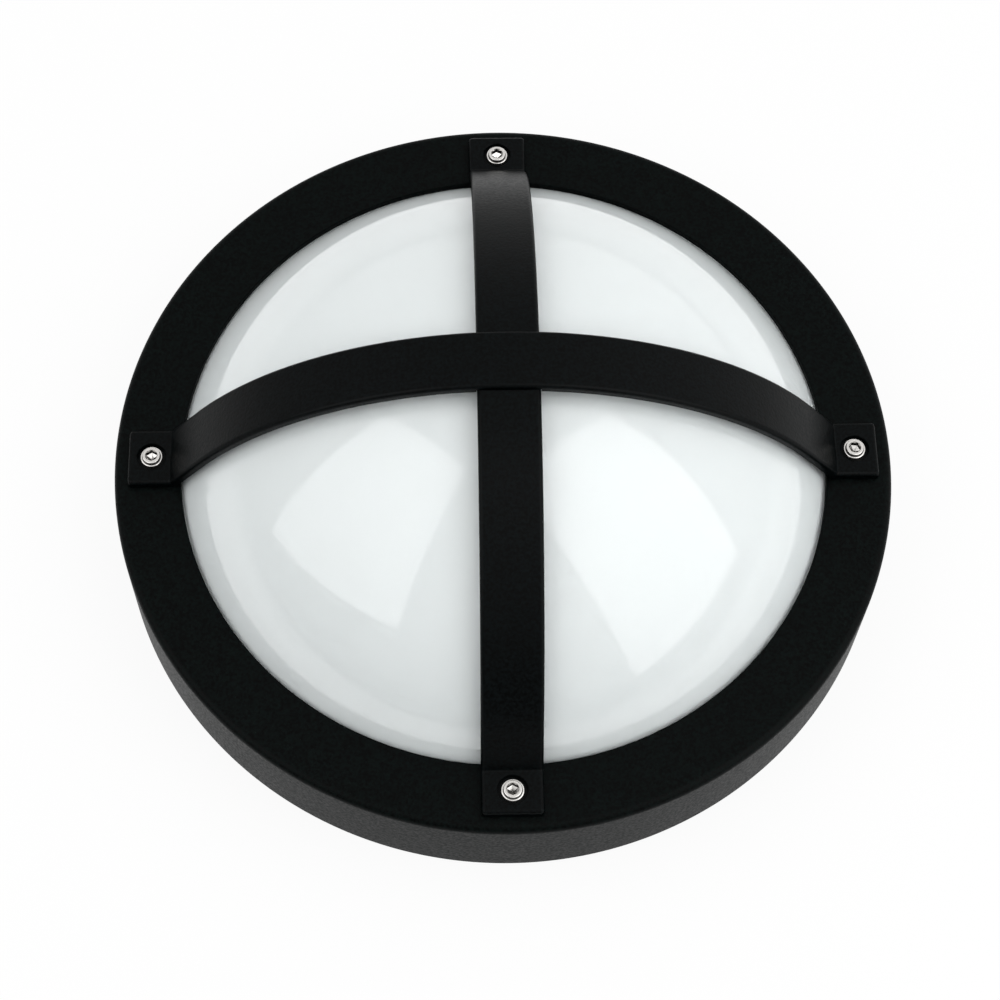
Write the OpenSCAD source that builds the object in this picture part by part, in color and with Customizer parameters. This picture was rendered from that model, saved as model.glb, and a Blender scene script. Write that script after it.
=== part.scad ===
// Round bulkhead light: deep trim ring, opal dome and two crossed guard straps.
// The back of the base lies on z = 0 and the dome points along +Z.
// The upper guard strap runs along X, the lower one along Y.

/* [Trim ring] */
// Outside diameter of the ring
ring_d = 300; // [260:1:360]
// Depth from the wall to the ring's face
ring_h = 39; // [34:0.5:60]
// Width of the flat annular face
face_w = 25.5; // [23:0.5:30]
// Thickness of the face
face_t = 3.2; // [2.4:0.1:5]
// Thickness of the skirt
skirt_t = 3; // [2:0.1:4.5]
// Rounding of the outer edge
ring_edge_r = 3; // [1:0.1:5]
// Rounding of the edge around the dome
lip_edge_r = 0.8; // [0.3:0.1:1.5]

/* [Guard straps] */
// Width of a strap
strap_w = 22.8; // [16:0.1:30]
// Thickness of a strap
strap_t = 3.8; // [3.2:0.1:6]
// Rounding along the outer edges of a strap
strap_edge_r = 1.5; // [0.4:0.1:1.6]
// Height of the upper strap's crown above the ring's face
strap_rise = 80.7; // [70:0.1:110]
// How far outside the opening a strap's outer face reaches the ring
strap_setback = 6.2; // [5.6:0.1:7]
// Slope of a strap's straight legs
leg_angle = 55; // [48:1:62]
// How far the upper strap stands above the lower one at the crossing
strap_step = 1.8; // [0.6:0.1:3]
// Distance from a foot's end to the ring's edge
foot_margin = 5.8; // [3:0.1:6.5]
// Rounding of a foot's corners seen from the front
foot_corner_r = 1.2; // [0.4:0.1:3]

/* [Cover screws] */
// Distance from the screw axis to the ring's edge
screw_inset = 14.7; // [14:0.05:15.2]
// Thread diameter
screw_d = 5; // [4:0.5:6]
// Head diameter
screw_head_d = 8.5; // [7:0.1:9.5]
// Head height
screw_head_h = 3; // [2.6:0.1:5]
// Rounding of the head's top edge
screw_head_r = 0.7; // [0.2:0.1:1]
// Hexagon socket across flats
socket_af = 4; // [2.5:0.1:5]
// Depth of the hexagon socket
socket_depth = 1.9; // [1.2:0.1:2.2]
// How deep the head sits in the foot
screw_sink = 1.9; // [0.8:0.1:2.2]
// Diameter of the pocket around the head
pocket_d = 11; // [9.8:0.1:13]
// Shank length below the head
screw_l = 16; // [12:0.5:24]

/* [Diffuser] */
// Height of the dome's crown above the ring's face
dome_rise = 71; // [50:0.5:90]
// Gap between the dome and the ring at the face
dome_gap = 2; // [1.6:0.1:4]
// Wall thickness of the dome
dome_t = 2.5; // [1.5:0.1:4]
// Thickness of the clamped flange
flange_t = 3; // [2:0.1:5]
// Thickness of the seal under the flange
gasket_t = 2.5; // [1.5:0.1:4]
// Width of the seal
gasket_w = 4; // [3:0.1:5]

/* [Base housing] */
// Thickness of the floor
floor_t = 3; // [2.5:0.1:5]
// Thickness of the round wall
base_wall = 2.5; // [2:0.1:4]
// Diameter of the bosses for the cover screws
boss_d = 12; // [11:0.1:13]
// Thickness of the ribs outside the wall
rib_t = 2.4; // [1.5:0.1:4]
// Height of the ribs outside the wall
rib_h = 12; // [5:0.5:20]
// Diameter of the circle of wall fixing holes
wall_hole_circle = 224; // [214:1:228]
// Diameter of a wall fixing hole
wall_hole_d = 5.5; // [4.5:0.1:7]
// Diameter of the raised seat around a wall fixing hole
wall_seat_d = 14; // [11:0.5:16]
// Height of the raised seat
wall_seat_h = 2; // [1:0.1:4]

/* [Cable entry] */
// Position of the entry, left to right
entry_x = 34; // [30:1:40]
// Position of the entry, bottom to top
entry_y = 40; // [34:1:46]
// Free bore of the grommet
entry_bore = 10; // [7:0.5:12]
// Thickness of the grommet around its bore
grommet_wall = 2; // [1.5:0.1:3]
// Width of the grommet's lips
grommet_lip = 2.6; // [1.5:0.1:4]
// Thickness of the grommet's lips
grommet_lip_t = 1.3; // [0.8:0.1:1.6]

/* [Gear tray] */
// Tray diameter
tray_d = 196; // [190:1:206]
// Sheet thickness
tray_t = 1.2; // [0.8:0.1:2]
// Height of the turned-up rim
tray_lip = 6; // [3:0.5:12]
// Height of the tray's underside above the wall
tray_z = 24; // [23:0.5:32]
// Diameter of the posts under the tray
post_d = 10; // [8:0.5:12]
// Distance from a post's axis to the tray's edge
post_inset = 9; // [8:0.5:11]
// Shank length of a tray screw
tray_screw_l = 8; // [6:0.5:10]

/* [Light board] */
// Distance from the board's edge to the tray's edge
board_inset = 18; // [16:0.5:22]
// Board thickness
board_t = 1.6; // [1:0.1:2.4]
// Distance from a board screw's axis to the board's edge
board_screw_inset = 7; // [5:0.5:9]
// Diameter of the inner circle of light sources
chip_circle_in = 44; // [30:1:60]
// Diameter of the outer circle of light sources
chip_circle_out = 92; // [76:1:104]
// Length of a light source
chip_l = 3.5; // [2:0.1:6]
// Width of a light source
chip_w = 2.8; // [2:0.1:6]
// Height of a light source
chip_h = 0.7; // [0.4:0.1:1.5]

/* [Driver] */
// Length of the driver's case
driver_l = 104; // [90:1:108]
// Width of the driver's case
driver_w = 42; // [34:1:46]
// Height of the driver's case
driver_h = 16; // [15:0.5:17]
// Position of the driver, bottom to top
driver_y = -32; // [-36:1:-28]
// Length of the ear at each end
ear_l = 9; // [8:0.5:11]
// Width of an ear
ear_w = 16; // [10:0.5:20]
// Thickness of an ear
ear_t = 2; // [1.2:0.1:3]
// Height of the pads that the ears stand on
pad_h = 2; // [1.5:0.1:3]

/* [Terminal block] */
// Position of the block, left to right
block_x = -30; // [-34:1:-26]
// Position of the block, bottom to top
block_y = 36; // [34:1:40]
// Distance between poles
pole_pitch = 10; // [9:0.5:11]
// Width of the block across the poles' wires
block_w = 20; // [18:0.5:24]
// Height of the block
block_h = 15; // [14:0.5:17]
// Diameter of a wire clamp screw
clamp_d = 3; // [2.5:0.1:3.6]

/* [Wiring] */
// Outside diameter of an insulated wire
wire_d = 2.4; // [1.6:0.1:3]
// Bending radius of a wire
wire_bend = 4; // [3:0.5:6]
// Distance between the two wires at a driver end
wire_pair = 8; // [7:0.5:10]
// Distance from the driver's end to the nearer wire lane
lane_out = 8.5; // [8:0.5:10]
// Distance between the two wire lanes
lane_pitch = 4; // [3.5:0.5:5]
// Distance from the terminal block to the farther wire lane
lane_drop = 11.5; // [11:0.5:14]
// Distance from the driver's end to the rising light-board leads
lead_out = 17; // [15:0.5:19]
// Position of the earth screw, left to right
earth_x = 4; // [2:1:8]
// Position of the earth screw, bottom to top
earth_y = 64; // [60:1:68]

/* [Clearances] */
// Loose fit between large castings
fit_gap = 0.5; // [0.2:0.05:1]
// Side clearance around seals and flanges
seal_gap = 0.4; // [0.2:0.05:0.8]
// Clearance around a screw in a plain hole
hole_gap = 0.25; // [0.1:0.05:0.6]
// Clearance around a screw in its thread
thread_gap = 0.05; // [0.02:0.01:0.1]
// Clearance around a wire in its hole
wire_gap = 0.2; // [0.1:0.05:0.3]

/* [Hidden] */
$fn = 96;

black = [0.04, 0.04, 0.045];
white = [0.93, 0.93, 0.92];
steel = [0.75, 0.75, 0.76];
rubber = [0.12, 0.12, 0.12];

// Ring and its opening
ring_r = ring_d / 2;
opening_r = ring_r - face_w;
face_back = ring_h - face_t;
screw_r = ring_r - screw_inset;

// Straps: an arc that runs out into straight legs, lapped at the crossing
strap_reach = opening_r + strap_setback;
strap_lap = (strap_t - strap_step) / 2;
leg_lap = 0.3;
leg_slack = 0.01;
foot_end = ring_r - foot_margin;
foot_top = ring_h + strap_t;
head_seat = foot_top - screw_sink;

// Dome through its crown and the opening
dome_base_r = opening_r - dome_gap;
dome_r = (dome_base_r * dome_base_r + dome_rise * dome_rise) / (2 * dome_rise);
dome_cz = ring_h + dome_rise - dome_r;
flange_z = face_back - flange_t;
flange_r = screw_r - boss_d / 2 - seal_gap;
seat_z = flange_z - gasket_t;
gasket_r = flange_r - seal_gap;

// Base
base_r = ring_r - skirt_t - fit_gap;
wall_r = screw_r - boss_d / 2 + 0.6;
wall_in_r = wall_r - base_wall;
ledge_r = gasket_r - gasket_w - 0.4;
ledge_t = 2;
entry_r = entry_bore / 2 + grommet_wall;
grommet_r = entry_r + grommet_lip;

// Small screws inside
m3 = 3;
m4 = 4;
m3_head = 5.6;
m4_head = 8;
m3_head_h = 2;
m4_head_h = 2.6;

// Places and heights of the inner pieces
post_r = tray_d / 2 - post_inset;
board_r = tray_d / 2 - board_inset;
board_screw_r = board_r - board_screw_inset;
tray_top = tray_z + tray_t;
board_top = tray_top + board_t;
pad_top = floor_t + pad_h;
wire_z = floor_t + 10;
block_l = 3 * pole_pitch + 4;
block_face_y = block_y - block_w / 2;
clamp_in = block_w / 4;
driver_end = driver_l / 2;
ear_x = driver_end + ear_l / 2;
lead_x = driver_end + lead_out;
lead_land_x = lead_x - 3 * wire_bend;
lead_top_z = board_top + 1.5 * wire_bend;
earth_top = wire_z - 2;
lug_t = 0.8;
lug_r = m4_head / 2 + 0.6;
barrel_end = earth_y - lug_r - 1;
barrel_l = 7;

// A closed half outline with all four corners rounded, for turning
module round_box_2d(x0, y0, x1, y1, r) {
  translate([x0 + r, y0])
    square([x1 - x0 - 2 * r, y1 - y0]);
  translate([x0, y0 + r])
    square([x1 - x0, y1 - y0 - 2 * r]);
  for (x = [x0 + r, x1 - r], y = [y0 + r, y1 - r])
    translate([x, y])
      circle(r);
}

// Section of a strap: x is the thickness outwards, y runs across the width
module strap_section(slack = 0) {
  half = strap_w / 2 - slack;
  top = strap_t - slack;
  translate([slack, -half])
    square([top - strap_edge_r - slack, 2 * half]);
  translate([slack, -half + strap_edge_r])
    square([top - slack, 2 * half - 2 * strap_edge_r]);
  for (y = [-1, 1])
    translate([top - strap_edge_r, y * (half - strap_edge_r)])
      circle(strap_edge_r);
}

// A screw with a rounded head and a cross recess, standing on its seat at z = 0
module pan_screw(d, head_d, head_h, l) {
  difference() {
    union() {
      rotate_extrude()
        intersection() {
          round_box_2d(-head_d / 2, -head_h, head_d / 2, head_h, head_h * 0.45);
          square([head_d, head_h]);
        }
      translate([0, 0, -l])
        cylinder(d = d, h = l + 0.1);
    }
    for (a = [0, 90])
      rotate(a)
        translate([-head_d * 0.28, -head_d * 0.06, head_h * 0.4])
          cube([head_d * 0.56, head_d * 0.12, head_h]);
  }
}

// A straight run of wire along +X from the origin
module wire_run(l) {
  rotate([0, 90, 0])
    cylinder(d = wire_d, h = l, $fn = 24);
}

// A quarter bend that starts along +X at the origin and ends along +Y
module wire_turn() {
  translate([0, wire_bend, 0])
    rotate([0, 0, -90])
      rotate_extrude(angle = 90, $fn = 48)
        translate([wire_bend, 0])
          circle(d = wire_d, $fn = 24);
}

module trim_ring() {
  color(black)
    difference() {
      rotate_extrude($fn = 180) {
        translate([opening_r + lip_edge_r, face_back])
          square([ring_r - ring_edge_r - opening_r - lip_edge_r, face_t]);
        translate([opening_r, face_back])
          square([lip_edge_r + 0.01, face_t - lip_edge_r]);
        translate([opening_r + lip_edge_r, ring_h - lip_edge_r])
          circle(lip_edge_r);
        translate([ring_r - ring_edge_r, ring_h - ring_edge_r])
          intersection() {
            circle(ring_edge_r);
            square(ring_edge_r);
          }
        translate([ring_r - max(skirt_t, ring_edge_r), face_back - 1])
          square([max(skirt_t, ring_edge_r), ring_h - ring_edge_r - face_back + 1]);
        translate([ring_r - skirt_t, 0])
          square([skirt_t, ring_h - ring_edge_r]);
      }
      for (a = [0:90:270])
        rotate(a)
          translate([screw_r, 0, face_back - 1])
            cylinder(d = screw_d + 2 * hole_gap, h = face_t + 2);
    }
}

// Radius of the arc that meets its legs smoothly, for a crown of the given height
function strap_arc(rise) =
  (strap_reach - rise / tan(leg_angle)) / (sin(leg_angle) - (1 - cos(leg_angle)) / tan(leg_angle));

// Arc and legs, cut off level on the ring's face; a leg is a hair slimmer and starts inside the arc
module strap_bow(rise) {
  arc_r = strap_arc(rise);
  leg_l = (rise - arc_r * (1 - cos(leg_angle)) + strap_t) / sin(leg_angle);
  intersection() {
    translate([0, 0, ring_h + rise - arc_r])
      rotate([90, 0, 0])
        union() {
          rotate(90 - leg_angle)
            rotate_extrude(angle = 2 * leg_angle, $fn = 240)
              translate([arc_r - strap_t, 0])
                strap_section();
          for (m = [0, 1])
            mirror([m, 0, 0])
              rotate(90 - leg_angle)
                translate([arc_r - strap_t, leg_lap, 0])
                  rotate([90, 0, 0])
                    linear_extrude(leg_l + leg_lap)
                      strap_section(leg_slack);
        }
    translate([-ring_r, -strap_w, ring_h])
      cube([2 * ring_r, 2 * strap_w, rise + strap_t]);
  }
}

// Flat foot on the +X side, with rounded edges and corners
module strap_foot() {
  start = strap_reach - strap_t;
  intersection() {
    translate([0, 0, ring_h])
      rotate([0, 90, 0])
        rotate(180)
          linear_extrude(foot_end)
            strap_section();
    translate([0, 0, ring_h])
      rotate([90, 0, 0])
        linear_extrude(2 * strap_w, center = true) {
          translate([start, 0])
            square([foot_end - start, strap_t - strap_edge_r]);
          translate([start, 0])
            square([foot_end - start - strap_edge_r, strap_t]);
          translate([foot_end - strap_edge_r, strap_t - strap_edge_r])
            circle(strap_edge_r);
        }
    translate([0, 0, ring_h - 1])
      linear_extrude(strap_t + 2)
        round_box_2d(start - strap_t, -strap_w / 2, foot_end, strap_w / 2, foot_corner_r);
  }
}

// Both straps share one form; side picks the face that is notched at the crossing
module guard_strap(rise, side) {
  crown_z = ring_h + rise;
  notch_w = strap_w + 2 * hole_gap;
  difference() {
    union() {
      strap_bow(rise);
      strap_foot();
      rotate(180)
        strap_foot();
    }
    for (a = [0, 180])
      rotate(a) {
        translate([screw_r, 0, ring_h - 1])
          cylinder(d = screw_d + 2 * hole_gap, h = strap_t + 2);
        translate([screw_r, 0, head_seat])
          cylinder(d = pocket_d, h = strap_t);
      }
    if (side > 0)
      translate([-notch_w / 2, -strap_w, crown_z - strap_lap])
        cube([notch_w, 2 * strap_w, strap_t]);
    if (side < 0)
      translate([-notch_w / 2, -strap_w, crown_z - 3 * strap_t])
        cube([notch_w, 2 * strap_w, 2 * strap_t + strap_lap]);
  }
}

module upper_guard_strap() {
  color(black)
    guard_strap(strap_rise, -1);
}

module lower_guard_strap() {
  color(black)
    rotate(90)
      guard_strap(strap_rise - strap_step, 1);
}

// Each screw stops at its own turn of the socket
module cover_screws() {
  turns = [55, 5, 30, 3];
  color(steel)
    for (i = [0:3])
      rotate(90 * i)
        translate([screw_r, 0, head_seat])
          difference() {
            union() {
              rotate_extrude()
                intersection() {
                  round_box_2d(-screw_head_d / 2, -screw_head_h, screw_head_d / 2, screw_head_h, screw_head_r);
                  square([screw_head_d, screw_head_h]);
                }
              translate([0, 0, -screw_l])
                cylinder(d = screw_d, h = screw_l + 0.1);
            }
            translate([0, 0, screw_head_h - socket_depth])
              rotate(turns[i])
                cylinder(d = socket_af / cos(30), h = socket_depth + 1, $fn = 6);
          }
}

module diffuser() {
  color([0.95, 0.95, 0.95])
    rotate_extrude($fn = 180) {
      intersection() {
        translate([0, dome_cz])
          difference() {
            circle(dome_r);
            circle(dome_r - dome_t);
          }
        translate([0, flange_z])
          square([flange_r, ring_h + dome_rise]);
      }
      translate([dome_base_r, flange_z])
        square([flange_r - dome_base_r, flange_t]);
    }
}

module diffuser_gasket() {
  color(rubber)
    rotate_extrude($fn = 120)
      round_box_2d(gasket_r - gasket_w, seat_z, gasket_r, flange_z, min(0.5, gasket_t / 4));
}

// Tapped boss or post that stands on the floor
module boss(x, y, d, top) {
  translate([x, y, floor_t - 0.5])
    cylinder(d = d, h = top - floor_t + 0.5);
}

module base_housing() {
  color([0.06, 0.06, 0.065])
    difference() {
      union() {
        cylinder(r = base_r, h = floor_t, $fn = 180);
        rotate_extrude($fn = 180)
          polygon([
            [wall_in_r, floor_t - 0.5],
            [wall_r, floor_t - 0.5],
            [wall_r, seat_z],
            [ledge_r, seat_z],
            [ledge_r, seat_z - ledge_t],
            [wall_in_r, seat_z - ledge_t - (wall_in_r - ledge_r)]
          ]);
        for (a = [0:90:270])
          rotate(a)
            boss(screw_r, 0, boss_d, face_back);
        for (a = [0:15:345])
          if (a % 90 != 0)
            rotate(a)
              translate([wall_r - 0.5, -rib_t / 2, floor_t - 0.5])
                cube([base_r - wall_r - 2, rib_t, rib_h + 0.5]);
        for (a = [45:90:315])
          rotate(a) {
            boss(wall_hole_circle / 2, 0, wall_seat_d, floor_t + wall_seat_h);
            boss(post_r, 0, post_d, tray_z);
          }
        for (s = [-1, 1])
          boss(s * ear_x, driver_y, ear_l - 1, pad_top);
        boss(block_x, block_y, 9, pad_top);
        boss(earth_x, earth_y, m4_head + 1, earth_top);
      }
      for (a = [0:90:270])
        rotate(a)
          translate([screw_r, 0, head_seat - screw_l - 2])
            cylinder(d = screw_d + 2 * thread_gap, h = ring_h);
      for (a = [45:90:315])
        rotate(a) {
          translate([wall_hole_circle / 2, 0, -1])
            cylinder(d = wall_hole_d, h = floor_t + wall_seat_h + 2);
          translate([post_r, 0, tray_z - tray_screw_l - 2])
            cylinder(d = m4 + 2 * thread_gap, h = tray_screw_l + 3);
        }
      for (s = [-1, 1])
        translate([s * ear_x, driver_y, 0.8])
          cylinder(d = m3 + 2 * thread_gap, h = pad_top);
      translate([block_x, block_y, 0.8])
        cylinder(d = m3 + 2 * thread_gap, h = pad_top);
      translate([earth_x, earth_y, earth_top - 8])
        cylinder(d = m4 + 2 * thread_gap, h = 9);
      translate([entry_x, entry_y, -1]) {
        cylinder(r = entry_r, h = floor_t + 2);
        cylinder(r = grommet_r + wire_gap, h = 1 + grommet_lip_t);
      }
    }
}

module cable_grommet() {
  color(rubber)
    translate([entry_x, entry_y, 0])
      difference() {
        union() {
          cylinder(r = grommet_r, h = grommet_lip_t);
          cylinder(r = entry_r, h = floor_t + grommet_lip_t);
          translate([0, 0, floor_t])
            cylinder(r = grommet_r, h = grommet_lip_t);
        }
        translate([0, 0, -1])
          cylinder(d = entry_bore, h = floor_t + grommet_lip_t + 2);
      }
}

// Holes for the two light-board leads
module lead_holes(z, h) {
  for (s = [-1, 1])
    translate([lead_x, driver_y + s * wire_pair / 2, z])
      cylinder(d = wire_d + 2 * wire_gap, h = h);
}

module gear_tray() {
  color(white)
    difference() {
      rotate_extrude($fn = 120)
        polygon([
          [0, tray_z],
          [tray_d / 2 - tray_lip / 2, tray_z],
          [tray_d / 2, tray_z + tray_lip],
          [tray_d / 2 - tray_t, tray_z + tray_lip],
          [tray_d / 2 - tray_lip / 2 - tray_t / 2, tray_top],
          [0, tray_top]
        ]);
      for (a = [45:90:315])
        rotate(a)
          translate([post_r, 0, tray_z - 1])
            cylinder(d = m4 + 2 * hole_gap, h = tray_t + 2);
      for (a = [0:90:270])
        rotate(a)
          translate([board_screw_r, 0, tray_z - 1])
            cylinder(d = m3 + 2 * thread_gap, h = tray_t + 2);
      lead_holes(tray_z - 1, tray_t + 2);
    }
}

module tray_screws() {
  color(steel)
    for (a = [45:90:315])
      rotate(a)
        translate([post_r, 0, tray_top])
          pan_screw(m4, m4_head, m4_head_h, tray_screw_l);
}

module led_board() {
  color([0.9, 0.9, 0.88])
    difference() {
      translate([0, 0, tray_top])
        cylinder(r = board_r, h = board_t, $fn = 120);
      for (a = [0:90:270])
        rotate(a)
          translate([board_screw_r, 0, tray_top - 1])
            cylinder(d = m3 + 2 * hole_gap, h = board_t + 2);
      lead_holes(tray_top - 1, board_t + 2);
    }
}

module chip_ring(circle_d, count) {
  for (i = [0:count - 1])
    rotate(i * 360 / count + 180 / count)
      translate([circle_d / 2 - chip_l / 2, -chip_w / 2, board_top])
        cube([chip_l, chip_w, chip_h]);
}

module led_chips() {
  color([0.95, 0.88, 0.45]) {
    chip_ring(chip_circle_in, 8);
    chip_ring(chip_circle_out, 16);
  }
}

module board_screws() {
  color(steel)
    for (a = [0:90:270])
      rotate(a)
        translate([board_screw_r, 0, board_top])
          pan_screw(m3, m3_head, m3_head_h, board_t + tray_t + 1.5);
}

module led_driver() {
  color([0.88, 0.88, 0.86])
    difference() {
      union() {
        translate([-driver_end, driver_y - driver_w / 2, pad_top])
          linear_extrude(driver_h)
            round_box_2d(0, 0, driver_l, driver_w, 3);
        translate([-driver_end - ear_l, driver_y - ear_w / 2, pad_top])
          linear_extrude(ear_t)
            round_box_2d(0, 0, driver_l + 2 * ear_l, ear_w, 2);
      }
      for (s = [-1, 1]) {
        translate([s * ear_x, driver_y, pad_top - 1])
          cylinder(d = m3 + 2 * hole_gap, h = ear_t + 2);
        for (t = [-1, 1])
          translate([s * driver_end, driver_y + t * wire_pair / 2, wire_z])
            rotate([0, -90 * s, 0])
              translate([0, 0, -1])
                cylinder(d = wire_d + 2 * wire_gap, h = 7, $fn = 24);
      }
    }
}

module driver_screws() {
  color(steel)
    for (s = [-1, 1])
      translate([s * ear_x, driver_y, pad_top + ear_t])
        pan_screw(m3, m3_head, m3_head_h, ear_t + pad_h + 1.5);
}

// Every pole has one clamp screw on each side of the block
module at_clamps() {
  for (i = [-1:1], s = [-1, 1])
    translate([block_x + i * pole_pitch, block_y + s * clamp_in, 0])
      children();
}

module terminal_block() {
  color([0.9, 0.9, 0.9])
    difference() {
      translate([block_x - block_l / 2, block_y - block_w / 2, pad_top])
        linear_extrude(block_h)
          round_box_2d(0, 0, block_l, block_w, 1.5);
      for (i = [-1:1])
        translate([block_x + i * pole_pitch, block_y + block_w, wire_z])
          rotate([90, 0, 0])
            cylinder(d = wire_d + 2 * wire_gap, h = 2 * block_w, $fn = 24);
      at_clamps()
        translate([0, 0, wire_z])
          cylinder(d = clamp_d + 2 * thread_gap, h = block_h);
      translate([block_x, block_y, pad_top - 1])
        cylinder(d = m3 + 2 * hole_gap, h = block_h + 2);
      translate([block_x, block_y, wire_z - wire_d])
        cylinder(d = m3_head + 0.6, h = block_h);
    }
}

module terminal_clamp_screws() {
  color([0.8, 0.65, 0.3])
    at_clamps()
      translate([0, 0, wire_z + wire_d / 2])
        difference() {
          cylinder(d = clamp_d, h = pad_top + block_h - wire_z - wire_d / 2 - 1);
          translate([-clamp_d, -0.3, pad_top + block_h - wire_z - wire_d / 2 - 2])
            cube([2 * clamp_d, 0.6, 2]);
        }
}

module terminal_fixing_screw() {
  color(steel)
    translate([block_x, block_y, wire_z - wire_d])
      pan_screw(m3, m3_head, m3_head_h, wire_z - wire_d - 1.4);
}

module earth_lug() {
  color([0.85, 0.8, 0.7])
    translate([earth_x, 0, 0])
      difference() {
        union() {
          translate([0, earth_y, earth_top])
            cylinder(r = lug_r, h = lug_t);
          translate([-2, barrel_end - 1, earth_top])
            cube([4, earth_y - barrel_end, lug_t]);
          translate([0, barrel_end, wire_z])
            rotate([90, 0, 0])
              cylinder(d = wire_d + 2 * wire_gap + 1.6, h = barrel_l);
        }
        translate([0, earth_y, earth_top - 1])
          cylinder(d = m4 + 2 * hole_gap, h = lug_t + 2);
        translate([0, barrel_end - 1.5, wire_z])
          rotate([90, 0, 0])
            cylinder(d = wire_d + 2 * wire_gap, h = barrel_l, $fn = 24);
      }
}

module earth_screw() {
  color([0.8, 0.65, 0.3])
    translate([earth_x, earth_y, earth_top + lug_t])
      pan_screw(m4, m4_head, m4_head_h, 7);
}

// Wire from the driver's left end round to a pole: s picks the wire, lane 0 is the nearer lane
module mains_wire(s, lane, pole) {
  start_y = driver_y + s * wire_pair / 2;
  out = lane_out + lane * lane_pitch;
  lane_x = -driver_end - out;
  lane_y = block_face_y - lane_drop + lane * lane_pitch;
  pole_x = block_x + pole * pole_pitch;
  translate([-driver_end + 5, start_y, wire_z])
    rotate(180)
      wire_run(5 + out - wire_bend);
  translate([lane_x + wire_bend, start_y, wire_z])
    mirror([1, 0, 0])
      wire_turn();
  translate([lane_x, start_y + wire_bend, wire_z])
    rotate(90)
      wire_run(lane_y - start_y - 2 * wire_bend);
  translate([lane_x, lane_y - wire_bend, wire_z])
    rotate(90)
      mirror([0, 1, 0])
        wire_turn();
  translate([lane_x + wire_bend, lane_y, wire_z])
    wire_run(pole_x - lane_x - 2 * wire_bend);
  translate([pole_x - wire_bend, lane_y, wire_z])
    wire_turn();
  translate([pole_x, lane_y + wire_bend, wire_z])
    rotate(90)
      wire_run(block_face_y - lane_y - wire_bend + clamp_in + 2);
}

module live_wire() {
  color([0.4, 0.2, 0.1])
    mains_wire(1, 0, 0);
}

module neutral_wire() {
  color([0.1, 0.25, 0.7])
    mains_wire(-1, 1, -1);
}

module earth_wire() {
  pole_x = block_x + pole_pitch;
  lane_y = block_face_y - 9;
  color([0.3, 0.6, 0.15]) {
    translate([pole_x, block_face_y + clamp_in + 2, wire_z])
      rotate(-90)
        wire_run(clamp_in + 2 + 9 - wire_bend);
    translate([pole_x, lane_y + wire_bend, wire_z])
      rotate(-90)
        wire_turn();
    translate([pole_x + wire_bend, lane_y, wire_z])
      wire_run(earth_x - pole_x - 2 * wire_bend);
    translate([earth_x - wire_bend, lane_y, wire_z])
      wire_turn();
    translate([earth_x, lane_y + wire_bend, wire_z])
      rotate(90)
        wire_run(barrel_end - 1.6 - lane_y - wire_bend);
  }
}

// Lead from the driver's right end, up through the tray and down onto the board
module led_lead(s) {
  translate([0, driver_y + s * wire_pair / 2, 0])
    rotate([90, 0, 0]) {
      translate([driver_end - 5, wire_z, 0])
        wire_run(lead_x - driver_end + 5 - wire_bend);
      translate([lead_x - wire_bend, wire_z, 0])
        wire_turn();
      translate([lead_x, wire_z + wire_bend, 0])
        rotate(90)
          wire_run(lead_top_z - wire_z - 2 * wire_bend);
      translate([lead_x, lead_top_z - wire_bend, 0])
        rotate(90)
          wire_turn();
      translate([lead_land_x + wire_bend, lead_top_z, 0])
        wire_run(lead_x - lead_land_x - 2 * wire_bend);
      translate([lead_land_x + wire_bend, lead_top_z, 0])
        rotate(180)
          wire_turn();
      translate([lead_land_x, board_top, 0])
        rotate(90)
          wire_run(lead_top_z - wire_bend - board_top);
    }
}

module led_lead_positive() {
  color([0.75, 0.1, 0.1])
    led_lead(1);
}

module led_lead_negative() {
  color([0.08, 0.08, 0.08])
    led_lead(-1);
}

trim_ring();
upper_guard_strap();
lower_guard_strap();
cover_screws();
diffuser();
diffuser_gasket();
base_housing();
cable_grommet();
gear_tray();
tray_screws();
led_board();
led_chips();
board_screws();
led_driver();
driver_screws();
terminal_block();
terminal_clamp_screws();
terminal_fixing_screw();
earth_lug();
earth_screw();
live_wire();
neutral_wire();
earth_wire();
led_lead_positive();
led_lead_negative();
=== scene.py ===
# %% [markdown]
# # A round bulkhead light with two crossed guard straps
# A bulkhead light is a sturdy lamp for an outside wall or a ceiling. A deep painted ring holds an opal
# dome, and two flat straps cross in front of the dome to take the knocks.
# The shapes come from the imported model, in metres, with the wall side on z = 0 and the dome along +Z.
# This lesson dresses them: a camera, a small studio, finer forms for the pieces that catch the light, and
# one finish after another.

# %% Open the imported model
import math

import bmesh
import bpy
from mathutils import Matrix, Vector


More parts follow.
